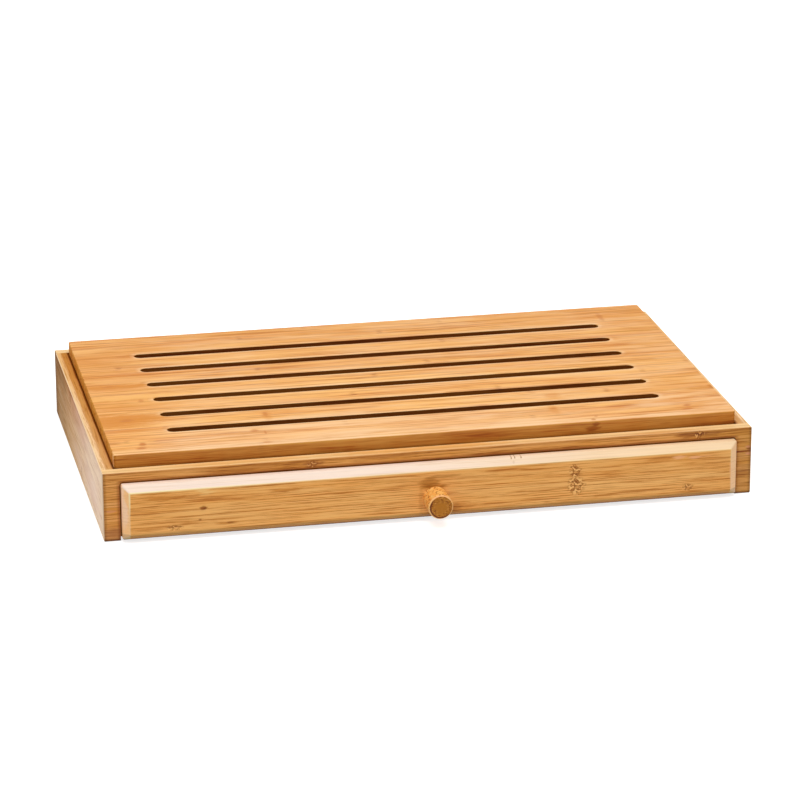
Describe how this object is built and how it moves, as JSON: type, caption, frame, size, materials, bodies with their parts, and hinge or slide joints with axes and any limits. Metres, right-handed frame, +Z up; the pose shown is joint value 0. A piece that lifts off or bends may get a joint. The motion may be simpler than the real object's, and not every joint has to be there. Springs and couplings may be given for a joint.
{
  "type": "bread board with crumb drawer",
  "caption": "Slotted bamboo cutting board lying in a low open box, with a bevelled crumb drawer and round knob at the front.",
  "frame": {"origin": "middle of the box's underside, on the surface it rests on", "axes": "+X along the board's length to the right as seen from the front, +Y from the drawer's front towards the back, +Z up"},
  "size_m": [0.42, 0.279, 0.0533],
  "materials": {
    "board_bamboo": "oiled laminated bamboo, fine strips along the length, satin",
    "box_bamboo": "oiled laminated bamboo, grain across the front, satin",
    "side_bamboo": "oiled laminated bamboo, grain front to back, satin",
    "drawer_bamboo": "oiled laminated bamboo with dark knuckles, satin",
    "tray_bamboo": "plain laminated bamboo",
    "panel_bamboo": "thin bamboo panel, matte",
    "strip_bamboo": "plain bamboo strip",
    "knob_bamboo": "turned bamboo, dotted end grain on its side, satin",
    "dowel_wood": "plain beech dowel",
    "screw_steel": "zinc-plated steel"
  },
  "bodies": {
    "box": {"front_panel": "box_bamboo", "back_panel": "box_bamboo", "left_side": "side_bamboo", "right_side": "side_bamboo", "floor_panel": "panel_bamboo", "left_ledge": "strip_bamboo", "right_ledge": "strip_bamboo", "front_ledge": "strip_bamboo", "back_ledge": "strip_bamboo", "left_guide": "strip_bamboo", "right_guide": "strip_bamboo", "corner_dowels": "dowel_wood"},
    "board": {"cutting_board": "board_bamboo"},
    "drawer": {"drawer_front": "drawer_bamboo", "tray_left_side": "tray_bamboo", "tray_right_side": "tray_bamboo", "tray_back": "tray_bamboo", "tray_floor": "panel_bamboo", "drawer_knob": "knob_bamboo", "knob_screw": "screw_steel"}
  },
  "joints": [
    {"name": "drawer_slide", "type": "slide", "parent": "box", "child": "drawer", "axis": [0, -1, 0], "range_m": [0, 0.25]},
    {"name": "board_lift", "type": "slide", "parent": "box", "child": "board", "axis": [0, 0, 1], "range_m": [0, 0.06]}
  ]
}
